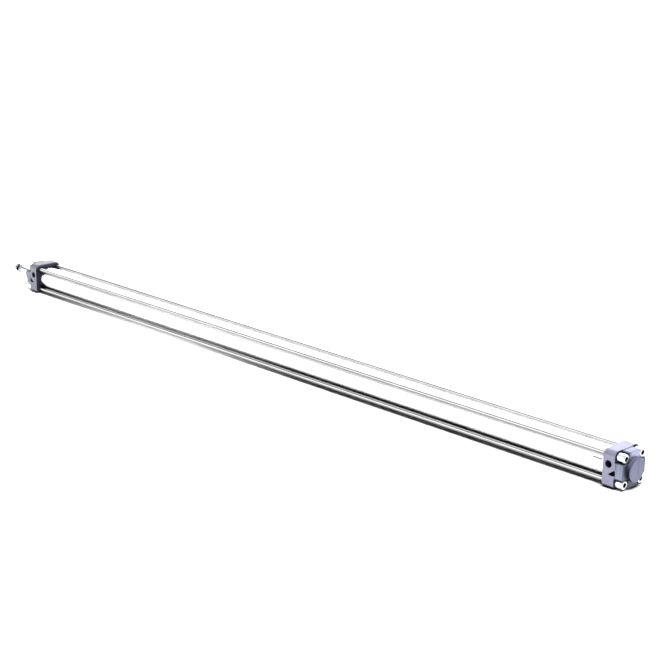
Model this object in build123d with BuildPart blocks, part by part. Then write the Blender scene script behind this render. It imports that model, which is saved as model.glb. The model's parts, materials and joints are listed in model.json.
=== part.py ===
"""Double-acting pneumatic cylinder: round barrel, four tie rods, two cast end caps.

Frame: +X runs along the axis towards the rod end, +Z is up, and +Y is the side
that carries the air ports. The origin is on the cylinder's axis at the rear
cap's mounting face. Millimetres throughout.
"""
import os

from build123d import *

os.makedirs("parts", exist_ok=True)

# ---------------------------------------------------------------- dimensions
BORE = 32.0                  # barrel bore
STROKE = 1100.0              # full stroke
BODY = 94.0 + STROKE         # mounting face to mounting face
REST_OUT = 16.0              # how far the rod stands out of its retracted end at rest

CAP = 47.0                   # width and height of both end caps
CAP_L = 28.0                 # cap length along the axis
CAP_R = 7.0                  # corner radius of the cap's flange
LOBE_L = 10.5                # length of the crossed lobes in front of the flange
LOBE_IN = 0.5                # how far the lobes lie inside the flange's outline
TG = 32.5                    # tie rod square
POCKET_R = 6.35              # corner pocket round each collar nut
BOSS_D = 30.0                # locating boss of both caps
BOSS_REAR = 5.0              # rear boss height
BOSS_FRONT = 16.0            # front boss height, round the rod

BARREL_D = 36.0              # barrel outside diameter
SEAT = 2.0                   # how deep the barrel sits in each cap
SPIGOT_D = 31.9              # spigot that enters the barrel
SPIGOT_L = 6.0

TIE_D = 6.0                  # tie rod
TIE_HOLE_D = 6.5             # its hole through the flange
TIE_END = 18.0               # tie rod end, from the cap's mounting face
NUT_HEAD_D = 11.0            # collar nut head
NUT_HEAD_IN = 0.3            # head face below the mounting face
NUT_SHANK_D = 8.6            # collar nut shank in the flange
NUT_SHANK_END = 22.5
NUT_BORE_D = 9.0             # flange bore for the shank
NUT_BORE_END = 23.5
NUT_HEX = 6.0                # hexagon socket across flats
NUT_HEX_DEPTH = 4.2
M6_MINOR = 5.0               # M6 thread, crest diameter of the hole
M6_NUT = 6.02                # the stretch of the nut that the tie rod fills

PORT_D = 8.6                 # G1/8 port, crest diameter of the thread
PORT_DEPTH = 12.5
PORT_X = 19.9                # port centre, from the mounting face
PORT_Z = 6.6
SCREW_X = 13.1               # cushion adjusting screw, from the mounting face
SCREW_Z = -3.8
POCKET_DEPTH = 5.0           # cast pocket over the adjusting screw

CHAMBER_D = 18.0             # cushion chamber in each cap
CHAMBER_REAR = 24.0          # depth of the rear one from the spigot face
CHAMBER_FRONT = 22.0
CUSHION_D = 16.0             # cushion sleeve and nut
CSEAL_D = 22.0               # groove of the cushion seal

ROD_D = 12.0
ROD_OUT = 26.0               # mounting face to thread shoulder, retracted
THREAD_L = 22.0              # rod end thread M10x1.25
THREAD_D = 9.9
LOCK_NUT_AF = 17.0
LOCK_NUT_T = 6.0
LOCK_NUT_BACK = 7.0          # nut's outer face, back from the rod's tip

PISTON_L = 25.0
PISTON_D = 31.4
END_GAP = 0.5                # piston face to spigot face at each end of the stroke

# ------------------------------------------------------------ derived places
H = CAP / 2
T = TG / 2
XF = BODY                                    # bearing cap's mounting face
REAR_IN = CAP_L + SPIGOT_L                   # rear spigot face
FRONT_IN = BODY - CAP_L - SPIGOT_L           # front spigot face
PR = REAR_IN + END_GAP + REST_OUT            # piston's rear face at rest
PF = PR + PISTON_L                           # piston's front face at rest
TIP = XF + ROD_OUT + THREAD_L + REST_OUT     # rod tip at rest
CORNERS = [(T, T), (-T, T), (-T, -T), (T, -T)]

print("piston travel check", FRONT_IN - END_GAP - PF + REST_OUT)

# pocket over the adjusting screw: a wedge that narrows towards the barrel
WEDGE = [(10.0, 0.0), (10.0, -6.2), (14.7, -7.0), (18.8, -6.2), (19.2, -5.2), (11.8, 0.5)]

# ---------------------------------------------------------------- rear cap
with BuildPart() as rear_cap:
    # square flange on the barrel's side
    with BuildSketch(Plane.YZ.offset(LOBE_L)):
        RectangleRounded(CAP, CAP, CAP_R)
    extrude(amount=CAP_L - LOBE_L)
    chamfer(rear_cap.faces().sort_by(Axis.X)[-1].edges(), length=0.7)
    # crossed lobes, cut back round the four collar nuts
    with BuildSketch(Plane.YZ) as rear_lobes:
        Rectangle(CAP - 2 * LOBE_IN, CAP - 2 * LOBE_IN)
        with Locations(*CORNERS):
            Circle(POCKET_R, mode=Mode.SUBTRACT)
        for sy in (1, -1):
            for sz in (1, -1):
                with Locations((sy * (T + 10), sz * (T - POCKET_R + 15))):
                    Rectangle(20, 30, mode=Mode.SUBTRACT)
                with Locations((sy * (T - POCKET_R + 15), sz * (T + 10))):
                    Rectangle(30, 20, mode=Mode.SUBTRACT)
        fillet(rear_lobes.vertices().filter_by(
            lambda v: max(abs(v.X), abs(v.Y)) > H - LOBE_IN - 0.01), radius=1.6)
    extrude(amount=LOBE_L)
    fillet(rear_cap.faces().sort_by(Axis.X)[0].outer_wire().edges(), radius=0.8)
    # locating boss
    with BuildSketch(Plane.YZ):
        Circle(BOSS_D / 2)
    extrude(amount=-BOSS_REAR)
    chamfer(rear_cap.faces().sort_by(Axis.X)[0].edges(), length=0.8)
    # seat for the barrel, and the spigot inside it
    with BuildSketch(Plane.YZ.offset(CAP_L - SEAT)):
        Circle(BARREL_D / 2 + 0.05)
    extrude(amount=SEAT, mode=Mode.SUBTRACT)
    with BuildSketch(Plane.YZ.offset(CAP_L - SEAT)):
        Circle(SPIGOT_D / 2)
    extrude(amount=SPIGOT_L + SEAT)
    chamfer(rear_cap.faces().sort_by(Axis.X)[-1].edges(), length=0.5)
    # grooves of the barrel seal and the cushion seal, and the cushion chamber
    with BuildSketch(Plane.XY):
        with BuildLine():
            Polyline((29.4, 14.3), (31.6, 14.3), (31.6, 17.0), (29.4, 17.0), close=True)
        make_face()
    revolve(axis=Axis.X, mode=Mode.SUBTRACT)
    with BuildSketch(Plane.XY):
        with BuildLine():
            Polyline((REAR_IN - CHAMBER_REAR, 0), (REAR_IN + 1, 0), (REAR_IN + 1, CHAMBER_D / 2 + 1),
                     (REAR_IN, CHAMBER_D / 2 + 1), (REAR_IN - 1, CHAMBER_D / 2),
                     (REAR_IN - CHAMBER_REAR, CHAMBER_D / 2), close=True)
        make_face()
    revolve(axis=Axis.X, mode=Mode.SUBTRACT)
    with BuildSketch(Plane.XY):
        with BuildLine():
            Polyline((29.0, 0), (33.0, 0), (33.0, CSEAL_D / 2), (29.0, CSEAL_D / 2), close=True)
        make_face()
    revolve(axis=Axis.X, mode=Mode.SUBTRACT)
    # tie rod holes and the bores of the collar nuts
    with BuildSketch(Plane.YZ):
        with Locations(*CORNERS):
            Circle(TIE_HOLE_D / 2)
    extrude(amount=CAP_L + 1, mode=Mode.SUBTRACT)
    with BuildSketch(Plane.YZ):
        with Locations(*CORNERS):
            Circle(NUT_BORE_D / 2)
    extrude(amount=NUT_BORE_END, mode=Mode.SUBTRACT)
    # air port and its passage to the chamber
    with BuildSketch(Plane.XZ.offset(-H)):
        with Locations((PORT_X, PORT_Z)):
            Circle(PORT_D / 2)
    extrude(amount=PORT_DEPTH, mode=Mode.SUBTRACT)
    with BuildSketch(Plane.XZ.offset(-H)):
        with Locations((PORT_X, PORT_Z)):
            Circle(PORT_D / 2 + 0.6)
    extrude(amount=0.6, taper=44, mode=Mode.SUBTRACT)
    with BuildSketch(Plane.XZ.offset(-(H - PORT_DEPTH))):
        with Locations((PORT_X, PORT_Z - 1)):
            Circle(2.5)
    extrude(amount=H - PORT_DEPTH - 4, mode=Mode.SUBTRACT)
    # wedge pocket, adjusting screw bore, needle seat and bypass passage
    with BuildSketch(Plane.XZ.offset(-H)) as rear_wedge:
        with BuildLine():
            Polyline(*WEDGE, close=True)
        make_face()
        fillet(rear_wedge.vertices(), radius=0.6)
    extrude(amount=POCKET_DEPTH, mode=Mode.SUBTRACT)
    with BuildSketch(Plane.XZ.offset(-(H - POCKET_DEPTH))):
        with Locations((SCREW_X, SCREW_Z)):
            Circle(2.3)
    extrude(amount=5.5, mode=Mode.SUBTRACT)
    with BuildSketch(Plane.XZ.offset(-(H - POCKET_DEPTH - 5.0))):
        with Locations((SCREW_X, SCREW_Z)):
            Circle(0.9)
    extrude(amount=6.0, mode=Mode.SUBTRACT)
    with BuildSketch(Plane.YZ.offset(SCREW_X)):
        with Locations((12.7, SCREW_Z)):
            Circle(0.9)
    extrude(amount=REAR_IN - SCREW_X + 1, mode=Mode.SUBTRACT)
rear_cap.part.label = "rear_cap"
export_step(rear_cap.part, "parts/rear_cap.step")

# ------------------------------------------------------------- bearing cap
with BuildPart() as bearing_cap:
    with BuildSketch(Plane.YZ.offset(XF - LOBE_L)):
        RectangleRounded(CAP, CAP, CAP_R)
    extrude(amount=-(CAP_L - LOBE_L))
    chamfer(bearing_cap.faces().sort_by(Axis.X)[0].edges(), length=0.7)
    with BuildSketch(Plane.YZ.offset(XF)) as front_lobes:
        Rectangle(CAP - 2 * LOBE_IN, CAP - 2 * LOBE_IN)
        with Locations(*CORNERS):
            Circle(POCKET_R, mode=Mode.SUBTRACT)
        for sy in (1, -1):
            for sz in (1, -1):
                with Locations((sy * (T + 10), sz * (T - POCKET_R + 15))):
                    Rectangle(20, 30, mode=Mode.SUBTRACT)
                with Locations((sy * (T - POCKET_R + 15), sz * (T + 10))):
                    Rectangle(30, 20, mode=Mode.SUBTRACT)
        fillet(front_lobes.vertices().filter_by(
            lambda v: max(abs(v.X), abs(v.Y)) > H - LOBE_IN - 0.01), radius=1.6)
    extrude(amount=-LOBE_L)
    fillet(bearing_cap.faces().sort_by(Axis.X)[-1].outer_wire().edges(), radius=0.8)
    # long boss round the rod
    with BuildSketch(Plane.YZ.offset(XF)):
        Circle(BOSS_D / 2)
    extrude(amount=BOSS_FRONT)
    chamfer(bearing_cap.faces().sort_by(Axis.X)[-1].edges(), length=1.0)
    with BuildSketch(Plane.YZ.offset(XF - CAP_L + SEAT)):
        Circle(BARREL_D / 2 + 0.05)
    extrude(amount=-SEAT, mode=Mode.SUBTRACT)
    with BuildSketch(Plane.YZ.offset(XF - CAP_L + SEAT)):
        Circle(SPIGOT_D / 2)
    extrude(amount=-(SPIGOT_L + SEAT))
    chamfer(bearing_cap.faces().sort_by(Axis.X)[0].edges(), length=0.5)
    with BuildSketch(Plane.XY):
        with BuildLine():
            Polyline((XF - 29.4, 14.3), (XF - 31.6, 14.3), (XF - 31.6, 17.0), (XF - 29.4, 17.0), close=True)
        make_face()
    revolve(axis=Axis.X, mode=Mode.SUBTRACT)
    # stepped bore: cushion chamber, bush, then the rod seal's housing
    with BuildSketch(Plane.XY):
        with BuildLine():
            Polyline((FRONT_IN - 1, 0), (FRONT_IN - 1, CHAMBER_D / 2 + 1), (FRONT_IN, CHAMBER_D / 2 + 1),
                     (FRONT_IN + 1, CHAMBER_D / 2), (FRONT_IN + CHAMBER_FRONT, CHAMBER_D / 2),
                     (FRONT_IN + CHAMBER_FRONT, 8.0), (XF + 8.0, 8.0), (XF + 8.0, 10.0),
                     (XF + BOSS_FRONT - 0.8, 10.0), (XF + BOSS_FRONT + 0.2, 11.0),
                     (XF + BOSS_FRONT + 0.2, 0), close=True)
        make_face()
    revolve(axis=Axis.X, mode=Mode.SUBTRACT)
    with BuildSketch(Plane.XY):
        with BuildLine():
            Polyline((XF - 33.0, 0), (XF - 29.0, 0), (XF - 29.0, CSEAL_D / 2), (XF - 33.0, CSEAL_D / 2), close=True)
        make_face()
    revolve(axis=Axis.X, mode=Mode.SUBTRACT)
    with BuildSketch(Plane.YZ.offset(XF)):
        with Locations(*CORNERS):
            Circle(TIE_HOLE_D / 2)
    extrude(amount=-(CAP_L + 1), mode=Mode.SUBTRACT)
    with BuildSketch(Plane.YZ.offset(XF)):
        with Locations(*CORNERS):
            Circle(NUT_BORE_D / 2)
    extrude(amount=-NUT_BORE_END, mode=Mode.SUBTRACT)
    with BuildSketch(Plane.XZ.offset(-H)):
        with Locations((XF - PORT_X, PORT_Z)):
            Circle(PORT_D / 2)
    extrude(amount=PORT_DEPTH, mode=Mode.SUBTRACT)
    with BuildSketch(Plane.XZ.offset(-H)):
        with Locations((XF - PORT_X, PORT_Z)):
            Circle(PORT_D / 2 + 0.6)
    extrude(amount=0.6, taper=44, mode=Mode.SUBTRACT)
    with BuildSketch(Plane.XZ.offset(-(H - PORT_DEPTH))):
        with Locations((XF - PORT_X, PORT_Z - 1)):
            Circle(2.5)
    extrude(amount=H - PORT_DEPTH - 4, mode=Mode.SUBTRACT)
    with BuildSketch(Plane.XZ.offset(-H)) as front_wedge:
        with BuildLine():
            Polyline(*[(XF - x, z) for x, z in WEDGE], close=True)
        make_face()
        fillet(front_wedge.vertices(), radius=0.6)
    extrude(amount=POCKET_DEPTH, mode=Mode.SUBTRACT)
    with BuildSketch(Plane.XZ.offset(-(H - POCKET_DEPTH))):
        with Locations((XF - SCREW_X, SCREW_Z)):
            Circle(2.3)
    extrude(amount=5.5, mode=Mode.SUBTRACT)
    with BuildSketch(Plane.XZ.offset(-(H - POCKET_DEPTH - 5.0))):
        with Locations((XF - SCREW_X, SCREW_Z)):
            Circle(0.9)
    extrude(amount=6.0, mode=Mode.SUBTRACT)
    with BuildSketch(Plane.YZ.offset(XF - SCREW_X)):
        with Locations((12.7, SCREW_Z)):
            Circle(0.9)
    extrude(amount=-(REAR_IN - SCREW_X + 1), mode=Mode.SUBTRACT)
bearing_cap.part.label = "bearing_cap"
export_step(bearing_cap.part, "parts/bearing_cap.step")

# ------------------------------------------------------------------ barrel
with BuildPart() as barrel:
    with BuildSketch(Plane.YZ.offset(CAP_L - SEAT)):
        Circle(BARREL_D / 2)
        Circle(BORE / 2, mode=Mode.SUBTRACT)
    extrude(amount=BODY - 2 * (CAP_L - SEAT))
    chamfer(barrel.edges().filter_by(lambda e: e.geom_type == GeomType.CIRCLE
                                     and abs(e.radius - BORE / 2) < 0.01), length=0.35)
barrel.part.label = "barrel"
export_step(barrel.part, "parts/barrel.step")

# ---------------------------------------------------------------- tie rods
with BuildPart() as tie_rod_1:
    with BuildSketch(Plane.YZ.offset(TIE_END)):
        with Locations((T, T)):
            Circle(TIE_D / 2)
    extrude(amount=BODY - 2 * TIE_END)
    chamfer(tie_rod_1.edges().filter_by(GeomType.CIRCLE), length=0.6)
tie_rod_1.part.label = "tie_rod_1"
export_step(tie_rod_1.part, "parts/tie_rod_1.step")

with BuildPart() as tie_rod_2:
    with BuildSketch(Plane.YZ.offset(TIE_END)):
        with Locations((-T, T)):
            Circle(TIE_D / 2)
    extrude(amount=BODY - 2 * TIE_END)
    chamfer(tie_rod_2.edges().filter_by(GeomType.CIRCLE), length=0.6)
tie_rod_2.part.label = "tie_rod_2"
export_step(tie_rod_2.part, "parts/tie_rod_2.step")

with BuildPart() as tie_rod_3:
    with BuildSketch(Plane.YZ.offset(TIE_END)):
        with Locations((-T, -T)):
            Circle(TIE_D / 2)
    extrude(amount=BODY - 2 * TIE_END)
    chamfer(tie_rod_3.edges().filter_by(GeomType.CIRCLE), length=0.6)
tie_rod_3.part.label = "tie_rod_3"
export_step(tie_rod_3.part, "parts/tie_rod_3.step")

with BuildPart() as tie_rod_4:
    with BuildSketch(Plane.YZ.offset(TIE_END)):
        with Locations((T, -T)):
            Circle(TIE_D / 2)
    extrude(amount=BODY - 2 * TIE_END)
    chamfer(tie_rod_4.edges().filter_by(GeomType.CIRCLE), length=0.6)
tie_rod_4.part.label = "tie_rod_4"
export_step(tie_rod_4.part, "parts/tie_rod_4.step")

# -------------------------------------------- collar nuts, four at each end
# a round head in the corner pocket with a hexagon socket and an M6 hole behind
# it, and a shank that reaches over the tie rod's end inside the flange
with BuildPart() as rear_collar_nuts:
    for cy, cz in CORNERS:
        with BuildSketch(Plane.YZ.offset(NUT_HEAD_IN)):
            with Locations((cy, cz)):
                Circle(NUT_HEAD_D / 2)
        extrude(amount=LOBE_L - NUT_HEAD_IN)
    chamfer(rear_collar_nuts.edges().filter_by(
        lambda e: abs(e.center().X - NUT_HEAD_IN) < 0.01), length=0.7)
    for cy, cz in CORNERS:
        with BuildSketch(Plane.YZ.offset(LOBE_L)):
            with Locations((cy, cz)):
                Circle(NUT_SHANK_D / 2)
        extrude(amount=NUT_SHANK_END - LOBE_L)
    with BuildSketch(Plane.YZ.offset(NUT_HEAD_IN)):
        with Locations(*CORNERS):
            RegularPolygon(NUT_HEX / 2, 6, major_radius=False)
    extrude(amount=NUT_HEX_DEPTH, mode=Mode.SUBTRACT)
    with BuildSketch(Plane.YZ.offset(NUT_HEAD_IN)):
        with Locations(*CORNERS):
            Circle(M6_MINOR / 2)
    extrude(amount=NUT_SHANK_END, mode=Mode.SUBTRACT)
    with BuildSketch(Plane.YZ.offset(TIE_END - 0.3)):
        with Locations(*CORNERS):
            Circle(M6_NUT / 2)
    extrude(amount=NUT_SHANK_END, mode=Mode.SUBTRACT)
rear_collar_nuts.part.label = "rear_collar_nuts"
export_step(rear_collar_nuts.part, "parts/rear_collar_nuts.step")

with BuildPart() as front_collar_nuts:
    for cy, cz in CORNERS:
        with BuildSketch(Plane.YZ.offset(XF - NUT_HEAD_IN)):
            with Locations((cy, cz)):
                Circle(NUT_HEAD_D / 2)
        extrude(amount=-(LOBE_L - NUT_HEAD_IN))
    chamfer(front_collar_nuts.edges().filter_by(
        lambda e: abs(e.center().X - (XF - NUT_HEAD_IN)) < 0.01), length=0.7)
    for cy, cz in CORNERS:
        with BuildSketch(Plane.YZ.offset(XF - LOBE_L)):
            with Locations((cy, cz)):
                Circle(NUT_SHANK_D / 2)
        extrude(amount=-(NUT_SHANK_END - LOBE_L))
    with BuildSketch(Plane.YZ.offset(XF - NUT_HEAD_IN)):
        with Locations(*CORNERS):
            RegularPolygon(NUT_HEX / 2, 6, major_radius=False)
    extrude(amount=-NUT_HEX_DEPTH, mode=Mode.SUBTRACT)
    with BuildSketch(Plane.YZ.offset(XF - NUT_HEAD_IN)):
        with Locations(*CORNERS):
            Circle(M6_MINOR / 2)
    extrude(amount=-NUT_SHANK_END, mode=Mode.SUBTRACT)
    with BuildSketch(Plane.YZ.offset(XF - TIE_END + 0.3)):
        with Locations(*CORNERS):
            Circle(M6_NUT / 2)
    extrude(amount=-NUT_SHANK_END, mode=Mode.SUBTRACT)
front_collar_nuts.part.label = "front_collar_nuts"
export_step(front_collar_nuts.part, "parts/front_collar_nuts.step")

# ------------------------------------------------------------ seals in caps
with BuildPart() as rear_barrel_seal:
    with BuildSketch(Plane.XY):
        with Locations((30.5, 15.15)):
            Circle(0.82)
    revolve(axis=Axis.X)
rear_barrel_seal.part.label = "rear_barrel_seal"
export_step(rear_barrel_seal.part, "parts/rear_barrel_seal.step")

with BuildPart() as front_barrel_seal:
    with BuildSketch(Plane.XY):
        with Locations((XF - 30.5, 15.15)):
            Circle(0.82)
    revolve(axis=Axis.X)
front_barrel_seal.part.label = "front_barrel_seal"
export_step(front_barrel_seal.part, "parts/front_barrel_seal.step")

with BuildPart() as rear_cushion_seal:
    with BuildSketch(Plane.XY):
        with BuildLine():
            Polyline((29.3, 10.9), (32.7, 10.9), (32.7, 9.2), (32.3, 8.3), (31.5, 8.3), (29.3, 9.4), close=True)
        make_face()
    revolve(axis=Axis.X)
rear_cushion_seal.part.label = "rear_cushion_seal"
export_step(rear_cushion_seal.part, "parts/rear_cushion_seal.step")

with BuildPart() as front_cushion_seal:
    with BuildSketch(Plane.XY):
        with BuildLine():
            Polyline((XF - 29.3, 10.9), (XF - 32.7, 10.9), (XF - 32.7, 9.2), (XF - 32.3, 8.3),
                     (XF - 31.5, 8.3), (XF - 29.3, 9.4), close=True)
        make_face()
    revolve(axis=Axis.X)
front_cushion_seal.part.label = "front_cushion_seal"
export_step(front_cushion_seal.part, "parts/front_cushion_seal.step")

with BuildPart() as rod_bush:
    with BuildSketch(Plane.XY):
        with BuildLine():
            Polyline((XF - 11.5, 6.04), (XF - 12.0, 6.5), (XF - 12.0, 7.6), (XF - 11.6, 7.99),
                     (XF + 7.6, 7.99), (XF + 8.0, 7.6), (XF + 8.0, 6.5), (XF + 7.5, 6.04), close=True)
        make_face()
    revolve(axis=Axis.X)
rod_bush.part.label = "rod_bush"
export_step(rod_bush.part, "parts/rod_bush.step")

# rod seal and wiper in one ring: sealing lip inwards, wiping lip outwards
with BuildPart() as rod_wiper_seal:
    with BuildSketch(Plane.XY):
        with BuildLine():
            Polyline((XF + 8.1, 9.9), (XF + 8.1, 8.6), (XF + 9.8, 8.2), (XF + 8.3, 6.2), (XF + 9.6, 6.1),
                     (XF + 11.2, 7.2), (XF + 13.2, 7.2), (XF + 15.1, 6.1), (XF + 15.9, 6.2),
                     (XF + 14.6, 8.0), (XF + 15.0, 9.9), close=True)
        make_face()
    revolve(axis=Axis.X)
rod_wiper_seal.part.label = "rod_wiper_seal"
export_step(rod_wiper_seal.part, "parts/rod_wiper_seal.step")

# -------------------------------------------- cushion adjusting screws
SY = H - POCKET_DEPTH                      # floor of the wedge pocket
with BuildPart() as rear_cushion_screw:
    with BuildSketch(Plane.XZ.offset(-(SY - 0.2))):
        with Locations((SCREW_X, SCREW_Z)):
            Circle(2.0)
    extrude(amount=4.5)
    chamfer(rear_cushion_screw.edges().filter_by(GeomType.CIRCLE), length=0.25)
    with BuildSketch(Plane.XZ.offset(-(SY - 4.6))):
        with Locations((SCREW_X, SCREW_Z)):
            Circle(0.6)
    extrude(amount=2.2, taper=6)
    # seal groove and screwdriver slot
    with BuildSketch(Plane.XZ.offset(-(SY - 1.9))):
        with Locations((SCREW_X, SCREW_Z)):
            Circle(2.4)
            Circle(1.35, mode=Mode.SUBTRACT)
    extrude(amount=1.1, mode=Mode.SUBTRACT)
    with BuildSketch(Plane.XZ.offset(-(SY - 0.2))):
        with Locations((SCREW_X, SCREW_Z)):
            Rectangle(6, 0.7, rotation=35)
    extrude(amount=1.1, mode=Mode.SUBTRACT)
rear_cushion_screw.part.label = "rear_cushion_screw"
export_step(rear_cushion_screw.part, "parts/rear_cushion_screw.step")

with BuildPart() as front_cushion_screw:
    with BuildSketch(Plane.XZ.offset(-(SY - 0.2))):
        with Locations((XF - SCREW_X, SCREW_Z)):
            Circle(2.0)
    extrude(amount=4.5)
    chamfer(front_cushion_screw.edges().filter_by(GeomType.CIRCLE), length=0.25)
    with BuildSketch(Plane.XZ.offset(-(SY - 4.6))):
        with Locations((XF - SCREW_X, SCREW_Z)):
            Circle(0.6)
    extrude(amount=2.2, taper=6)
    with BuildSketch(Plane.XZ.offset(-(SY - 1.9))):
        with Locations((XF - SCREW_X, SCREW_Z)):
            Circle(2.4)
            Circle(1.35, mode=Mode.SUBTRACT)
    extrude(amount=1.1, mode=Mode.SUBTRACT)
    with BuildSketch(Plane.XZ.offset(-(SY - 0.2))):
        with Locations((XF - SCREW_X, SCREW_Z)):
            Rectangle(6, 0.7, rotation=-20)
    extrude(amount=1.1, mode=Mode.SUBTRACT)
front_cushion_screw.part.label = "front_cushion_screw"
export_step(front_cushion_screw.part, "parts/front_cushion_screw.step")

with BuildPart() as rear_screw_o_ring:
    with BuildSketch(Plane.XY.offset(SCREW_Z)):
        with Locations((SCREW_X + 1.75, SY - 2.45)):
            Circle(0.38)
    revolve(axis=Axis((SCREW_X, 0, SCREW_Z), (0, 1, 0)))
rear_screw_o_ring.part.label = "rear_screw_o_ring"
export_step(rear_screw_o_ring.part, "parts/rear_screw_o_ring.step")

with BuildPart() as front_screw_o_ring:
    with BuildSketch(Plane.XY.offset(SCREW_Z)):
        with Locations((XF - SCREW_X + 1.75, SY - 2.45)):
            Circle(0.38)
    revolve(axis=Axis((XF - SCREW_X, 0, SCREW_Z), (0, 1, 0)))
front_screw_o_ring.part.label = "front_screw_o_ring"
export_step(front_screw_o_ring.part, "parts/front_screw_o_ring.step")

# ------------------------------------------------------------------ piston
MID = (PR + PF) / 2                        # joint plane of the two halves
SEAL_R0 = 12.0                             # bottom of the seal grooves
with BuildPart() as piston_rear_half:
    with BuildSketch(Plane.XY):
        with BuildLine():
            Polyline((PR, 4.03), (PR, 9.4), (PR + 1.2, 9.4), (PR + 1.2, 12.2), (PR, 12.2), (PR, PISTON_D / 2 - 0.6),
                     (PR + 0.6, PISTON_D / 2), (PR + 2.4, PISTON_D / 2), (PR + 2.4, SEAL_R0), (PR + 7.0, SEAL_R0),
                     (PR + 7.0, PISTON_D / 2), (MID - 4.1, PISTON_D / 2), (MID - 4.1, 14.5), (MID - 2.6, 14.5),
                     (MID - 2.6, 10.4), (MID, 10.4), (MID, 4.03), close=True)
        make_face()
    revolve(axis=Axis.X)
piston_rear_half.part.label = "piston_rear_half"
export_step(piston_rear_half.part, "parts/piston_rear_half.step")

with BuildPart() as piston_front_half:
    with BuildSketch(Plane.XY):
        with BuildLine():
            Polyline((PF, 4.03), (PF, 9.4), (PF - 1.2, 9.4), (PF - 1.2, 12.2), (PF, 12.2), (PF, PISTON_D / 2 - 0.6),
                     (PF - 0.6, PISTON_D / 2), (PF - 2.4, PISTON_D / 2), (PF - 2.4, SEAL_R0), (PF - 7.0, SEAL_R0),
                     (PF - 7.0, PISTON_D / 2), (MID + 4.1, PISTON_D / 2), (MID + 4.1, 14.5), (MID + 2.6, 14.5),
                     (MID + 2.6, 10.4), (MID, 10.4), (MID, 4.03), (PF - 6.2, 4.03), (PF - 6.2, 5.5),
                     (PF - 4.4, 5.5), (PF - 4.4, 4.03), close=True)
        make_face()
    revolve(axis=Axis.X)
piston_front_half.part.label = "piston_front_half"
export_step(piston_front_half.part, "parts/piston_front_half.step")

with BuildPart() as magnet_ring:
    with BuildSketch(Plane.XY):
        with Locations((MID, (10.5 + 14.1) / 2)):
            Rectangle(5.0, 14.1 - 10.5)
    revolve(axis=Axis.X)
magnet_ring.part.label = "magnet_ring"
export_step(magnet_ring.part, "parts/magnet_ring.step")

# the guide ring and the two lip seals stay put in the bore's direction of turn
# while the piston turns inside them, so they have room inside as well as outside
with BuildPart() as piston_guide_ring:
    with BuildSketch(Plane.YZ.offset(MID - 3.8)):
        Circle(15.7)
        Circle(14.8, mode=Mode.SUBTRACT)
        with Locations(Rotation(0, 0, 90)):
            with Locations((15.3, 0)):
                Rectangle(3, 0.8, mode=Mode.SUBTRACT)
    extrude(amount=7.6)
piston_guide_ring.part.label = "piston_guide_ring"
export_step(piston_guide_ring.part, "parts/piston_guide_ring.step")

with BuildPart() as piston_rear_seal:
    with BuildSketch(Plane.XY):
        with BuildLine():
            Polyline((PR + 6.7, 12.3), (PR + 6.7, 15.4), (PR + 4.6, 15.4), (PR + 2.7, 15.7), (PR + 2.7, 15.1),
                     (PR + 4.2, 14.2), (PR + 2.7, 12.9), (PR + 2.7, 12.3), close=True)
        make_face()
    revolve(axis=Axis.X)
piston_rear_seal.part.label = "piston_rear_seal"
export_step(piston_rear_seal.part, "parts/piston_rear_seal.step")

with BuildPart() as piston_front_seal:
    with BuildSketch(Plane.XY):
        with BuildLine():
            Polyline((PF - 6.7, 12.3), (PF - 6.7, 15.4), (PF - 4.6, 15.4), (PF - 2.7, 15.7), (PF - 2.7, 15.1),
                     (PF - 4.2, 14.2), (PF - 2.7, 12.9), (PF - 2.7, 12.3), close=True)
        make_face()
    revolve(axis=Axis.X)
piston_front_seal.part.label = "piston_front_seal"
export_step(piston_front_seal.part, "parts/piston_front_seal.step")

with BuildPart() as piston_o_ring:
    with BuildSketch(Plane.XY):
        with Locations((PF - 5.3, 4.76)):
            Circle(0.7)
    revolve(axis=Axis.X)
piston_o_ring.part.label = "piston_o_ring"
export_step(piston_o_ring.part, "parts/piston_o_ring.step")

with BuildPart() as rear_buffer_ring:
    with BuildSketch(Plane.XY):
        with BuildLine():
            Polyline((PR - 0.3, 9.8), (PR - 0.3, 11.8), (PR + 1.2, 12.1), (PR + 1.2, 9.5), close=True)
        make_face()
    revolve(axis=Axis.X)
rear_buffer_ring.part.label = "rear_buffer_ring"
export_step(rear_buffer_ring.part, "parts/rear_buffer_ring.step")

with BuildPart() as front_buffer_ring:
    with BuildSketch(Plane.XY):
        with BuildLine():
            Polyline((PF + 0.3, 9.8), (PF + 0.3, 11.8), (PF - 1.2, 12.1), (PF - 1.2, 9.5), close=True)
        make_face()
    revolve(axis=Axis.X)
front_buffer_ring.part.label = "front_buffer_ring"
export_step(front_buffer_ring.part, "parts/front_buffer_ring.step")

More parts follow.
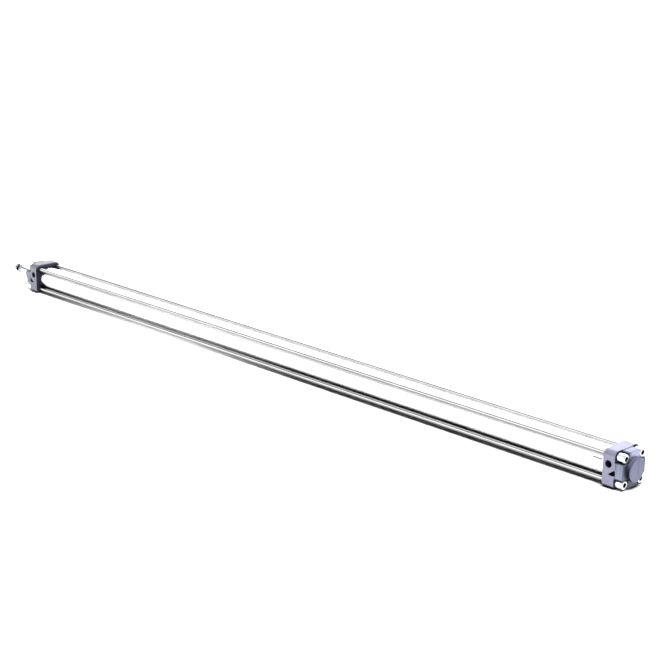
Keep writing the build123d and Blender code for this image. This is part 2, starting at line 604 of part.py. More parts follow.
# ------------------------------------------------- rod, cushions, lock nut
CU = CUSHION_D / 2
SLEEVE_SEAT = 4.5                          # radius under the front cushion sleeve
GROOVE_X = TIP - LOCK_NUT_BACK - 0.5       # narrow groove inside the lock nut, behind the free thread
with BuildPart() as piston_rod:
    # threaded stub for the cushion nut, piston seat, sleeve seat, then the rod
    with BuildSketch(Plane.XY):
        with BuildLine():
            Polyline((PR - 12.0, 0), (PR - 12.0, 3.4), (PR - 11.4, 4.0), (PF, 4.0), (PF, SLEEVE_SEAT),
                     (PF + 16.0, SLEEVE_SEAT), (PF + 16.0, ROD_D / 2), (TIP - THREAD_L - 1.0, ROD_D / 2),
                     (TIP - THREAD_L, THREAD_D / 2), (GROOVE_X, THREAD_D / 2), (GROOVE_X, THREAD_D / 2 - 0.5),
                     (GROOVE_X + 0.5, THREAD_D / 2 - 0.5), (GROOVE_X + 0.5, THREAD_D / 2),
                     (TIP - 1.0, THREAD_D / 2), (TIP, THREAD_D / 2 - 1.0), (TIP, 0), close=True)
        make_face()
    revolve(axis=Axis.X)
    # two spanner flats beside the thread
    with BuildSketch(Plane.YZ.offset(TIP - THREAD_L - 1.0 - 7.0)):
        with Locations((0, 5.0 + 2.0), (0, -5.0 - 2.0)):
            Rectangle(14, 4.0)
    extrude(amount=6.0, mode=Mode.SUBTRACT)
    # centre drilling in the tip
    with BuildSketch(Plane.XY):
        with BuildLine():
            Polyline((TIP, 0), (TIP, 1.5), (TIP - 1.2, 0.8), (TIP - 2.4, 0.8), (TIP - 3.0, 0), close=True)
        make_face()
    revolve(axis=Axis.X, mode=Mode.SUBTRACT)
piston_rod.part.label = "piston_rod"
export_step(piston_rod.part, "parts/piston_rod.step")

with BuildPart() as front_cushion_sleeve:
    with BuildSketch(Plane.XY):
        with BuildLine():
            Polyline((PF, SLEEVE_SEAT + 0.03), (PF, CU), (PF + 13.5, CU), (PF + 16.0, CU - 0.9),
                     (PF + 16.0, SLEEVE_SEAT + 0.03), close=True)
        make_face()
    revolve(axis=Axis.X)
front_cushion_sleeve.part.label = "front_cushion_sleeve"
export_step(front_cushion_sleeve.part, "parts/front_cushion_sleeve.step")

with BuildPart() as rear_cushion_nut:
    with BuildSketch(Plane.XY):
        with BuildLine():
            Polyline((PR, 4.03), (PR, CU), (PR - 15.5, CU), (PR - 18.0, CU - 0.9), (PR - 18.0, 0),
                     (PR - 12.6, 0), (PR - 12.6, 4.03), close=True)
        make_face()
    revolve(axis=Axis.X)
    with BuildSketch(Plane.YZ.offset(PR - 18.0)):
        RegularPolygon(4.0, 6, major_radius=False)
    extrude(amount=4.2, mode=Mode.SUBTRACT)
rear_cushion_nut.part.label = "rear_cushion_nut"
export_step(rear_cushion_nut.part, "parts/rear_cushion_nut.step")

NUT_X = TIP - LOCK_NUT_BACK - LOCK_NUT_T
with BuildPart() as rod_lock_nut:
    with BuildSketch(Plane.YZ.offset(NUT_X)):
        RegularPolygon(LOCK_NUT_AF / 2, 6, major_radius=False, rotation=12)
    extrude(amount=LOCK_NUT_T)
    # round chamfers on both faces of the hexagon
    with BuildSketch(Plane.XY):
        with BuildLine():
            Polyline((NUT_X, 0), (NUT_X, 8.25), (NUT_X + 0.9, 9.9), (NUT_X + LOCK_NUT_T - 0.9, 9.9),
                     (NUT_X + LOCK_NUT_T, 8.25), (NUT_X + LOCK_NUT_T, 0), close=True)
        make_face()
    revolve(axis=Axis.X, mode=Mode.INTERSECT)
    with BuildSketch(Plane.XY):
        with BuildLine():
            Polyline((NUT_X - 1, 0), (NUT_X - 1, 5.5), (NUT_X, 5.5), (NUT_X + 0.5, 5.0),
                     (NUT_X + LOCK_NUT_T - 0.5, 5.0), (NUT_X + LOCK_NUT_T, 5.5),
                     (NUT_X + LOCK_NUT_T + 1, 5.5), (NUT_X + LOCK_NUT_T + 1, 0), close=True)
        make_face()
    revolve(axis=Axis.X, mode=Mode.SUBTRACT)
rod_lock_nut.part.label = "rod_lock_nut"
export_step(rod_lock_nut.part, "parts/rod_lock_nut.step")
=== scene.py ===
"""Looks for a tie rod air cylinder: finishes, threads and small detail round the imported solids."""
import json
import math

import bmesh
import bpy
from mathutils import Matrix, Vector


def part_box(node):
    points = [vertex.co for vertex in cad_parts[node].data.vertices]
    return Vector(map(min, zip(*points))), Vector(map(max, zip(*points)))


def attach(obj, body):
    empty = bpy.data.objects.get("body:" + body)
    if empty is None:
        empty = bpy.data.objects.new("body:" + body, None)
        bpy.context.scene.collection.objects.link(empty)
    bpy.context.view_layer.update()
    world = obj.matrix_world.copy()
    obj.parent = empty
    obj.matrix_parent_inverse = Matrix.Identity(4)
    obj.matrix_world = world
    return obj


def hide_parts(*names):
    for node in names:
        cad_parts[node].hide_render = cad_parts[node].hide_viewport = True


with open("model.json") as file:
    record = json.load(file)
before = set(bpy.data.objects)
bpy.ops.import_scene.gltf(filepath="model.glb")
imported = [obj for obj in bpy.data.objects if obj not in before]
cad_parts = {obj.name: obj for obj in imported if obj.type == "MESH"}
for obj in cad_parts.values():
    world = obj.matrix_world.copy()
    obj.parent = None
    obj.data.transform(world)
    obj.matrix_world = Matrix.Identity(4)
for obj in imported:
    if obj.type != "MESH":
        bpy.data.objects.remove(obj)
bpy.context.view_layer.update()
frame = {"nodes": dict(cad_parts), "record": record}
nodes = frame["nodes"]

# ------------------------------------------------------------- key sizes, m
BODY = 1.194            # mounting face to mounting face
HALF = 0.0235           # half the caps' width
TG = 0.01625            # half the tie rod square
TIP = 1.258             # rod tip at rest
THREAD_L = 0.022
FLOOR_Z = -HALF

# ------------------------------------------------------------------- camera
CAM = Vector((-0.951777, 1.456236, 0.669559))
YAW, PITCH, ROLL = math.radians(-45.13977), math.radians(-16.67719), math.radians(0.98172)
fwd = Vector((math.cos(PITCH) * math.cos(YAW), math.cos(PITCH) * math.sin(YAW), math.sin(PITCH)))
right = fwd.cross(Vector((0, 0, 1))).normalized()
up = right.cross(fwd)
right, up = (math.cos(ROLL) * right + math.sin(ROLL) * up,
             -math.sin(ROLL) * right + math.cos(ROLL) * up)
cam_data = bpy.data.cameras.new("camera")
cam = bpy.data.objects.new("camera", cam_data)
bpy.context.scene.collection.objects.link(cam)
cam.matrix_world = Matrix((
    (right.x, up.x, -fwd.x, CAM.x),
    (right.y, up.y, -fwd.y, CAM.y),
    (right.z, up.z, -fwd.z, CAM.z),
    (0, 0, 0, 1)))
cam_data.sensor_width = 36.0
cam_data.lens = 1571.426 / 665 * 36.0
cam_data.clip_start, cam_data.clip_end = 0.01, 100.0
bpy.context.scene.camera = cam

# ---------------------------------------------------------------- materials


class Mat:
    """A node material with a few helpers."""

    def __init__(self, name, color, metallic, roughness, **sockets):
        self.mat = bpy.data.materials.new(name)
        self.mat.use_nodes = True
        self.t = self.mat.node_tree
        self.bsdf = self.t.nodes["Principled BSDF"]
        self.bsdf.inputs["Base Color"].default_value = (*color, 1)
        self.bsdf.inputs["Metallic"].default_value = metallic
        self.bsdf.inputs["Roughness"].default_value = roughness
        for key, value in sockets.items():
            self.bsdf.inputs[key.replace("_", " ")].default_value = value
        self.coord = self.t.nodes.new("ShaderNodeTexCoord")
        self.normal = None

    def node(self, kind, **values):
        n = self.t.nodes.new(kind)
        for key, value in values.items():
            setattr(n, key, value)
        return n

    def link(self, a, b):
        self.t.links.new(a, b)

    def point(self, scale=(1, 1, 1)):
        """Object coordinates in metres, scaled per axis."""
        m = self.node("ShaderNodeMapping")
        m.inputs["Scale"].default_value = scale
        self.link(self.coord.outputs["Object"], m.inputs["Vector"])
        return m.outputs["Vector"]

    def noise(self, scale, detail=3.0, stretch=(1, 1, 1), rough=0.5, w=0.0):
        n = self.node("ShaderNodeTexNoise", noise_dimensions="4D")
        n.inputs["Scale"].default_value = scale
        n.inputs["Detail"].default_value = detail
        n.inputs["Roughness"].default_value = rough
        n.inputs["W"].default_value = w
        self.link(self.point(stretch), n.inputs["Vector"])
        return n.outputs["Fac"]

    def math(self, op, a, b=None, c=None, clamp=False):
        n = self.node("ShaderNodeMath", operation=op, use_clamp=clamp)
        for i, v in enumerate((a, b, c)):
            if v is None:
                continue
            if isinstance(v, (int, float)):
                n.inputs[i].default_value = v
            else:
                self.link(v, n.inputs[i])
        return n.outputs[0]

    def remap(self, value, lo, hi, to_lo, to_hi, smooth=False):
        n = self.node("ShaderNodeMapRange", interpolation_type="SMOOTHSTEP" if smooth else "LINEAR")
        n.inputs["From Min"].default_value = lo
        n.inputs["From Max"].default_value = hi
        n.inputs["To Min"].default_value = to_lo
        n.inputs["To Max"].default_value = to_hi
        self.link(value, n.inputs["Value"])
        return n.outputs["Result"]

    def mix(self, fac, a, b):
        """A colour between a and b, each a colour or a socket."""
        n = self.node("ShaderNodeMix", data_type="RGBA")
        for v, i in ((fac, 0), (a, 6), (b, 7)):
            if isinstance(v, (int, float)):
                n.inputs[i].default_value = v
            elif isinstance(v, (tuple, list)):
                n.inputs[i].default_value = (*v, 1)
            else:
                self.link(v, n.inputs[i])
        return n.outputs[2]

    def xyz(self):
        s = self.node("ShaderNodeSeparateXYZ")
        self.link(self.coord.outputs["Object"], s.inputs[0])
        return s.outputs["X"], s.outputs["Y"], s.outputs["Z"]

    def facing(self):
        """The surface's own direction in object space."""
        s = self.node("ShaderNodeSeparateXYZ")
        self.link(self.coord.outputs["Normal"], s.inputs[0])
        return s.outputs["X"], s.outputs["Y"], s.outputs["Z"]

    def color(self, socket):
        self.link(socket, self.bsdf.inputs["Base Color"])

    def rough(self, socket):
        self.link(socket, self.bsdf.inputs["Roughness"])

    def bump(self, height, strength, distance):
        b = self.node("ShaderNodeBump")
        b.inputs["Strength"].default_value = strength
        b.inputs["Distance"].default_value = distance
        self.link(height, b.inputs["Height"])
        if self.normal is not None:
            self.link(self.normal, b.inputs["Normal"])
        self.normal = b.outputs["Normal"]
        self.link(self.normal, self.bsdf.inputs["Normal"])


def cast_aluminium():
    """Die-cast caps: matt lavender grey flange, bluer lobes, machined mounting faces, with painted shade in the
    recesses, on downward faces, upper fillets, tops, low end faces and the far cap, and painted light at the top of the
    end face.
    """
    m = Mat("cast_aluminium", (0.4, 0.4, 0.47), 1.0, 0.5)
    x, y, z = m.xyz()
    inward = m.math("MINIMUM", x, m.math("SUBTRACT", BODY, x))       # depth from the nearer mounting face
    ay, az = m.math("ABSOLUTE", y), m.math("ABSOLUTE", z)
    r = m.math("SQRT", m.math("ADD", m.math("MULTIPLY", y, y), m.math("MULTIPLY", z, z)))
    lobe = m.remap(inward, 0.0103, 0.0106, 1, 0, True)
    cut = m.remap(inward, 0.0003, 0.0008, 1, 0, True)
    mottle = m.noise(95, 4, rough=0.6)
    cloud = m.noise(260, 4, rough=0.6, w=5)
    grain = m.noise(1500, 2, rough=0.6)
    streak = m.noise(620, 2, stretch=(1, 1, 0.09), w=3)
    # flange
    flange = m.mix(m.remap(mottle, 0.3, 0.7, 0, 1), (0.244, 0.243, 0.342), (0.302, 0.298, 0.408))
    flange = m.mix(m.math("MULTIPLY", m.remap(cloud, 0.45, 0.8, 0, 1), 0.55), flange, (0.335, 0.332, 0.440))
    nx, ny, nz = m.facing()
    # painted shade: a darker band on the flange's upward sloping fillets, none on faces turned to the ends
    fillet_shade = m.math("MULTIPLY", m.remap(nz, 0.06, 0.30, 0, 1, True), m.remap(nz, 0.42, 0.72, 1, 0, True))
    fillet_shade = m.math("MULTIPLY", fillet_shade, m.remap(m.math("ABSOLUTE", nx), 0.2, 0.5, 0.55, 0))
    flange = m.mix(fillet_shade, flange, (0.105, 0.100, 0.150))
    # lobes
    side = m.mix(m.remap(mottle, 0.3, 0.7, 0, 1), (0.220, 0.256, 0.346), (0.274, 0.313, 0.410))
    side = m.mix(m.math("MULTIPLY", m.remap(streak, 0.46, 0.62, 0, 1, True), 0.6), side, (0.150, 0.176, 0.250))
    # machined boss and end face
    face = m.mix(m.remap(m.noise(160, 3, stretch=(1, 1, 0.3), w=7), 0.35, 0.65, 0, 1), (0.160, 0.172, 0.266), (0.196, 0.206, 0.308))
    # painted shade: the end faces darken in streaks below about z -12 mm
    ends = m.math("MULTIPLY", m.remap(m.math("ABSOLUTE", nx), 0.85, 0.97, 0, 1), lobe)
    low = m.math("MULTIPLY", m.math("MULTIPLY", ends, m.remap(z, -0.0150, -0.0115, 1, 0, True)),
                 m.remap(m.noise(900, 2, stretch=(1, 0.5, 0.12), w=8), 0.35, 0.6, 0.55, 1.0))
    side = m.mix(low, side, (0.070, 0.080, 0.105))
    color = m.mix(lobe, flange, side)
    # painted shade: the outer ring of the end face darkens at the bottom too
    outer = m.mix(m.math("MULTIPLY", low, 0.8), (0.138, 0.160, 0.221), (0.035, 0.042, 0.055))
    # painted light: the top of the end face's outer ring is made a bright lavender, less so toward the port side
    painted_top_light = m.math("MULTIPLY", m.remap(z, 0.0110, 0.0160, 0, 1, True), m.remap(y, 0.0050, 0.0100, 1, 0.35, True))
    outer = m.mix(painted_top_light, outer, (0.440, 0.450, 0.645))
    face = m.mix(m.remap(r, 0.0149, 0.0153, 0, 1), face, outer)
    color = m.mix(cut, color, face)
    color = m.mix(m.math("MULTIPLY", m.remap(grain, 0.35, 0.7, 0, 1), 0.22), color, (0.38, 0.38, 0.43))
    # painted shade: the far cap's cast surfaces are given a duller grey than the near cap's
    color = m.mix(m.math("MULTIPLY", m.remap(x, 0.5, 0.7, 0, 0.6), m.math("SUBTRACT", 1.0, cut)), color, (0.200, 0.212, 0.195))
    # painted shade: the upward faces are darkened, more on the far cap than on the near one
    top = m.math("MULTIPLY", m.remap(nz, 0.60, 0.90, 0, 1, True), m.remap(x, 0.5, 0.7, 0.27, 0.72))
    color = m.mix(top, color, (0.080, 0.082, 0.100))
    # painted shade in the recesses: corner pockets, barrel side, port, adjuster pocket, foot of the rear boss, and on
    # the downward faces
    corner = m.math("MULTIPLY", m.remap(ay, 0.0096, 0.0100, 0, 1, True), m.remap(az, 0.0096, 0.0100, 0, 1, True))
    corner = m.math("MULTIPLY", corner, m.remap(inward, 0.0109, 0.0116, 1, 0, True))
    corner = m.math("MULTIPLY", corner, m.remap(inward, -0.0004, -0.0001, 0, 1))
    inner = m.remap(inward, 0.0273, 0.0278, 0, 1, True)
    px = m.math("SUBTRACT", inward, 0.0199)
    pz = m.math("SUBTRACT", z, 0.0066)
    rp = m.math("SQRT", m.math("ADD", m.math("MULTIPLY", px, px), m.math("MULTIPLY", pz, pz)))
    port = m.math("MULTIPLY", m.remap(rp, 0.0045, 0.0047, 1, 0), m.remap(y, 0.0229, 0.0233, 1, 0))
    wedge = m.math("MULTIPLY", m.math("MULTIPLY", m.remap(inward, 0.0095, 0.0098, 0, 1), m.remap(inward, 0.0194, 0.0197, 1, 0)),
                   m.math("MULTIPLY", m.remap(z, -0.0075, -0.0072, 0, 1), m.remap(z, 0.0007, 0.0010, 1, 0)))
    wedge = m.math("MULTIPLY", wedge, m.math("MULTIPLY", m.remap(y, 0.0150, 0.0155, 0, 1), m.remap(y, 0.0222, 0.0229, 1, 0)))
    foot = m.math("MULTIPLY", m.math("MULTIPLY", m.remap(r, 0.01480, 0.01495, 0, 1), m.remap(r, 0.0152, 0.0156, 1, 0)),
                  m.math("MULTIPLY", m.remap(x, -0.0043, -0.0041, 0, 1), m.remap(x, 0.0002, 0.0004, 1, 0)))
    foot = m.math("MULTIPLY", foot, m.remap(z, 0.0020, 0.0145, 1, 0.30, True))
    under = m.math("MULTIPLY", m.remap(nz, -0.66, -0.32, 1, 0, True), m.remap(m.math("ABSOLUTE", nx), 0.4, 0.7, 1, 0))
    inner = m.math("MAXIMUM", inner, under)
    dark = m.math("MAXIMUM", m.math("MAXIMUM", corner, inner), m.math("MAXIMUM", m.math("MAXIMUM", port, wedge), foot))
    blotch_noise = m.remap(m.noise(700, 3, w=11), 0.3, 0.7, 0.93, 1.0)
    dark = m.math("MULTIPLY", dark, blotch_noise)
    # painted light: the painted shade on the barrel-side face turns lighter toward its top
    shade = m.mix(m.math("MULTIPLY", m.remap(z, 0.0165, 0.0225, 0, 1, True), inner), (0.014, 0.016, 0.027), (0.080, 0.078, 0.130))
    color = m.mix(dark, color, shade)
    # a faint dark line down the upper part of the rear boss's face
    line = m.math("MULTIPLY", m.remap(m.math("ABSOLUTE", m.math("ADD", y, 0.0015)), 0.0002, 0.0009, 0.55, 0, True),
                  m.math("MULTIPLY", m.remap(z, -0.009, -0.006, 0, 1), m.remap(x, -0.0049, -0.0048, 1, 0)))
    color = m.mix(line, color, (0.07, 0.075, 0.125))
    m.color(color)
    m.rough(m.math("ADD", m.remap(grain, 0.3, 0.7, 0.46, 0.62), m.math("ADD", m.math("MULTIPLY", cut, -0.12), m.math("MULTIPLY", dark, 0.25))))
    m.link(m.math("SUBTRACT", 1.0, dark), m.bsdf.inputs["Metallic"])
    m.link(m.math("MULTIPLY_ADD", dark, -0.45, 0.5), m.bsdf.inputs["Specular IOR Level"])
    # cast skin, then turning marks on the machined faces
    skin = m.math("SUBTRACT", 1.0, cut)
    m.bump(m.math("MULTIPLY", skin, m.noise(2600, 2, w=1)), 0.35, 0.00012)
    m.bump(m.math("MULTIPLY", skin, m.noise(500, 2, w=2)), 0.3, 0.0002)
    rings = m.math("SINE", m.math("MULTIPLY", r, 2 * math.pi / 0.00045))
    m.bump(m.math("MULTIPLY", cut, rings), 0.12, 0.00004)
    return m.mat


def barrel_metal():
    """Drawn and clear anodised tube: bright satin with fine lines along its length."""
    m = Mat("barrel_aluminium", (0.93, 0.935, 0.945), 1.0, 0.24)
    x, y, z = m.xyz()
    fine = m.noise(2600, 3, stretch=(0.006, 1, 1))
    broad = m.noise(320, 3, stretch=(0.02, 1, 1), w=4)
    smudge = m.noise(26, 4, w=9)
    base = m.mix(m.remap(broad, 0.35, 0.65, 0, 1), (0.90, 0.905, 0.92), (0.95, 0.95, 0.955))
    base = m.mix(m.math("MULTIPLY", m.remap(smudge, 0.5, 0.75, 0, 1), 0.25), base, (0.86, 0.87, 0.89))
    # painted shade: the underside is darkened, strongly on the near half and by the far cap, weakly between, where a
    # thin dark line runs along its lower side
    under = m.math("MULTIPLY", m.remap(z, -0.0145, -0.0105, 1, 0, True),
                   m.math("MAXIMUM", m.remap(x, 0.54, 0.74, 0.88, 0.08), m.remap(x, 1.08, 1.14, 0, 0.88)))
    line = m.math("MULTIPLY", m.remap(z, -0.0142, -0.0128, 0, 1, True), m.remap(z, -0.0115, -0.0095, 1, 0, True))
    under = m.math("MAXIMUM", under, m.math("MULTIPLY", line, m.remap(x, 0.54, 0.70, 0, 0.42)))
    base = m.mix(under, base, (0.05, 0.05, 0.055))
    # two plain printed bars near the rear cap
    turn = m.math("ARCTAN2", z, y)

    def bar(x0, x1, a0, a1):
        inx = m.math("MULTIPLY", m.remap(x, x0 - 0.00008, x0 + 0.00008, 0, 1), m.remap(x, x1 - 0.00008, x1 + 0.00008, 1, 0))
        ina = m.math("MULTIPLY", m.remap(turn, a0 - 0.005, a0 + 0.005, 0, 1), m.remap(turn, a1 - 0.005, a1 + 0.005, 1, 0))
        return m.math("MULTIPLY", inx, ina)

    ink = m.math("MAXIMUM", bar(0.0330, 0.0465, 0.350, 0.450), bar(0.0345, 0.0430, 0.245, 0.275))
    worn = m.remap(m.noise(300, 3, w=12), 0.30, 0.60, 0.55, 1.0)
    ink = m.math("MULTIPLY", ink, worn)
    m.color(m.mix(ink, base, (0.11, 0.12, 0.24)))
    m.link(m.math("SUBTRACT", 1.0, m.math("MULTIPLY", ink, 0.9)), m.bsdf.inputs["Metallic"])
    rough = m.math("ADD", m.remap(fine, 0.3, 0.7, 0.13, 0.21), m.math("MULTIPLY", m.remap(smudge, 0.5, 0.75, 0, 1), 0.06))
    m.rough(m.math("ADD", rough, m.math("MULTIPLY", ink, 0.25)))
    m.bump(fine, 0.18, 0.00002)
    return m.mat


def bar_steel():
    """Drawn stainless tie rods."""
    m = Mat("tie_rod_steel", (0.55, 0.55, 0.54), 1.0, 0.22, Specular_Tint=(0.5, 0.5, 0.5, 1))
    fine = m.noise(5200, 3, stretch=(0.004, 1, 1), w=2)
    broad = m.noise(60, 3, stretch=(0.4, 1, 1), w=5)
    base = m.mix(m.remap(broad, 0.35, 0.65, 0, 1), (0.52, 0.52, 0.515), (0.60, 0.60, 0.59))
    # painted shade: darker flanks just below the middle on the port side, and a darker far half on top of the upper
    # back rod
    x, y, z = m.xyz()
    nx, ny, nz = m.facing()
    flank = m.math("MULTIPLY", m.remap(nz, -0.55, -0.30, 0, 1, True), m.remap(nz, 0.0, 0.20, 1, 0, True))
    skirt = m.math("MULTIPLY", m.remap(nz, -0.97, -0.80, 0, 0.7), m.math("MULTIPLY", m.remap(nz, 0.0, 0.15, 1, 0, True), m.remap(z, 0.0, 0.005, 0, 1)))
    flank = m.math("MULTIPLY", m.math("MAXIMUM", flank, skirt), m.remap(y, 0.0, 0.005, 0.12, 0.80))
    crown = m.math("MULTIPLY", m.remap(nz, 0.60, 0.88, 0, 1, True), m.remap(y, -0.005, 0.0, 1, 0))
    crown = m.math("MULTIPLY", crown, m.remap(x, 0.60, 1.05, 0, 0.8))
    m.color(m.mix(m.math("MAXIMUM", flank, crown), base, (0.18, 0.18, 0.178)))
    m.rough(m.remap(fine, 0.3, 0.7, 0.12, 0.22))
    m.bump(fine, 0.25, 0.00002)
    return m.mat


def zinc_steel():
    """Bright zinc plated nuts, their hexagon sockets painted black as shade."""
    m = Mat("zinc_steel", (0.92, 0.93, 0.92), 1.0, 0.26)
    x, y, z = m.xyz()
    inward = m.math("MINIMUM", x, m.math("SUBTRACT", BODY, x))
    ny = m.math("SUBTRACT", m.math("ABSOLUTE", y), TG)
    nz = m.math("SUBTRACT", m.math("ABSOLUTE", z), TG)
    rn = m.math("SQRT", m.math("ADD", m.math("MULTIPLY", ny, ny), m.math("MULTIPLY", nz, nz)))
    # painted shade: the inside of each hexagon socket is nearly black
    socket = m.math("MULTIPLY", m.remap(rn, 0.00352, 0.00362, 1, 0), m.remap(inward, 0.00045, 0.00065, 0, 1))
    cloud = m.noise(420, 3, w=3)
    speck = m.noise(2600, 2, w=6)
    a = m.mix(m.remap(cloud, 0.35, 0.65, 0, 1), (0.80, 0.845, 0.87), (0.88, 0.92, 0.94))
    a = m.mix(m.math("MULTIPLY", m.remap(speck, 0.6, 0.75, 0, 1), 0.3), a, (0.62, 0.66, 0.68))
    # the lock nut gets a nearly black patch on the port side of its face toward the caps
    lock_nut_patch = m.math("MULTIPLY", m.remap(x, BODY + 0.01, BODY + 0.02, 0, 1), m.remap(y, 0.0014, 0.0028, 0, 1, True))
    nx, ny2, nz2 = m.facing()
    lock_nut_patch = m.math("MULTIPLY", lock_nut_patch, m.remap(nx, -0.75, -0.55, 1, 0))
    lock_nut_patch = m.math("MULTIPLY", lock_nut_patch, m.math("MULTIPLY", m.remap(z, -0.0030, -0.0010, 0, 1, True), m.remap(z, 0.0078, 0.0092, 1, 0, True)))
    a = m.mix(m.math("MULTIPLY", lock_nut_patch, m.remap(cloud, 0.3, 0.6, 0.93, 1.0)), a, (0.010, 0.010, 0.011))
    m.color(m.mix(socket, a, (0.012, 0.014, 0.018)))
    m.rough(m.math("ADD", m.remap(cloud, 0.3, 0.7, 0.20, 0.34), m.math("MULTIPLY", socket, 0.4)))
    m.link(m.math("SUBTRACT", 1.0, socket), m.bsdf.inputs["Metallic"])
    m.link(m.math("MULTIPLY_ADD", socket, -0.45, 0.5), m.bsdf.inputs["Specular IOR Level"])
    m.bump(speck, 0.2, 0.00003)
    return m.mat


def chrome():
    """Hard chromed rod, polished, with very fine marks round it."""
    m = Mat("rod_chrome", (0.80, 0.81, 0.82), 1.0, 0.07)
    fine = m.noise(3800, 2, stretch=(1, 0.15, 0.15), w=3)
    haze = m.noise(45, 3, w=8)
    m.color(m.mix(m.remap(haze, 0.4, 0.7, 0, 1), (0.80, 0.81, 0.82), (0.74, 0.75, 0.77)))
    m.rough(m.math("ADD", m.remap(fine, 0.3, 0.7, 0.05, 0.10), m.remap(haze, 0.4, 0.7, 0, 0.05)))
    m.bump(fine, 0.06, 0.00001)
    return m.mat


def thread_steel():
    """Cut thread: bright next to the rod, nearly black on its free end."""
    m = Mat("thread_steel", (0.60, 0.60, 0.61), 1.0, 0.30)
    x, y, z = m.xyz()
    blotch_noise = m.noise(700, 3, w=3)
    bright = m.mix(m.remap(blotch_noise, 0.35, 0.65, 0, 1), (0.56, 0.57, 0.58), (0.74, 0.75, 0.76))
    dark_end = m.mix(m.remap(blotch_noise, 0.35, 0.65, 0, 1), (0.010, 0.010, 0.011), (0.032, 0.032, 0.035))
    m.color(m.mix(m.remap(x, TIP - 0.0100, TIP - 0.0070, 0, 1, True), bright, dark_end))
    m.rough(m.remap(blotch_noise, 0.3, 0.7, 0.26, 0.42))
    m.bump(m.noise(5200, 2, w=6), 0.2, 0.00002)
    return m.mat


def rubber():
    m = Mat("seal_rubber", (0.022, 0.022, 0.025), 0.0, 0.55)
    n = m.noise(1400, 3)
    m.color(m.mix(m.remap(n, 0.35, 0.65, 0, 1), (0.016, 0.016, 0.018), (0.034, 0.034, 0.037)))
    m.rough(m.remap(n, 0.3, 0.7, 0.45, 0.66))
    m.bump(m.noise(4200, 2, w=2), 0.25, 0.00003)
    return m.mat


def bronze():
    m = Mat("bush_bronze", (0.50, 0.33, 0.17), 1.0, 0.42)
    n = m.noise(2200, 3)
    m.color(m.mix(m.remap(n, 0.4, 0.65, 0, 1), (0.52, 0.35, 0.18), (0.30, 0.19, 0.10)))
    m.rough(m.remap(n, 0.3, 0.7, 0.34, 0.55))
    m.bump(n, 0.3, 0.00003)
    return m.mat


def brass():
    """Brass darkened nearly to black as painted shade, for the screw deep in its pocket."""
    m = Mat("screw_brass", (0.08, 0.06, 0.03), 1.0, 0.4)
    n = m.noise(1800, 3)
    m.color(m.mix(m.remap(n, 0.35, 0.65, 0, 1), (0.020, 0.017, 0.012), (0.055, 0.045, 0.030)))
    m.rough(m.remap(n, 0.3, 0.7, 0.24, 0.42))
    m.bump(m.noise(4200, 2, w=5), 0.2, 0.00002)
    return m.mat


def turned_aluminium():
    m = Mat("piston_aluminium", (0.75, 0.76, 0.78), 1.0, 0.3)
    fine = m.noise(4200, 2, stretch=(1, 0.12, 0.12), w=3)
    m.color(m.mix(m.remap(m.noise(220, 2), 0.35, 0.65, 0, 1), (0.70, 0.71, 0.73), (0.79, 0.80, 0.82)))
    m.rough(m.remap(fine, 0.3, 0.7, 0.24, 0.4))
    m.bump(fine, 0.25, 0.00002)
    return m.mat


def ferrite():
    m = Mat("magnet_ferrite", (0.09, 0.09, 0.1), 0.3, 0.6)
    n = m.noise(1500, 3)
    m.color(m.mix(m.remap(n, 0.35, 0.65, 0, 1), (0.06, 0.06, 0.065), (0.13, 0.13, 0.14)))
    m.rough(m.remap(n, 0.3, 0.7, 0.5, 0.72))
    m.bump(n, 0.3, 0.00003)
    return m.mat


def filled_plastic():
    m = Mat("guide_plastic", (0.28, 0.25, 0.20), 0.0, 0.5)
    n = m.noise(1900, 3)
    m.color(m.mix(m.remap(n, 0.4, 0.7, 0, 1), (0.29, 0.26, 0.21), (0.17, 0.15, 0.12)))
    m.rough(m.remap(n, 0.3, 0.7, 0.4, 0.6))
    m.bump(n, 0.2, 0.00003)
    return m.mat


MATS = {
    "cast_aluminium": cast_aluminium(), "barrel_aluminium": barrel_metal(), "tie_rod_steel": bar_steel(),
    "zinc_steel": zinc_steel(), "rod_chrome": chrome(), "seal_rubber": rubber(), "bush_bronze": bronze(),
    "screw_brass": brass(), "piston_aluminium": turned_aluminium(), "magnet_ferrite": ferrite(),
    "guide_plastic": filled_plastic(),
}
THREAD = thread_steel()

for entry in frame["record"]["subparts"]:
    o = nodes[entry["node"]]
    o.data.materials.clear()
    o.data.materials.append(MATS[entry["material_slot"]])


def new_object(name, bm, material, smooth_deg=35):
    me = bpy.data.meshes.new(name)
    bm.normal_update()
    bm.to_mesh(me)
    bm.free()
    o = bpy.data.objects.new(name, me)
    bpy.context.scene.collection.objects.link(o)
    me.materials.append(material)
    for p in me.polygons:
        p.use_smooth = True
    me.set_sharp_from_angle(angle=math.radians(smooth_deg))
    return o


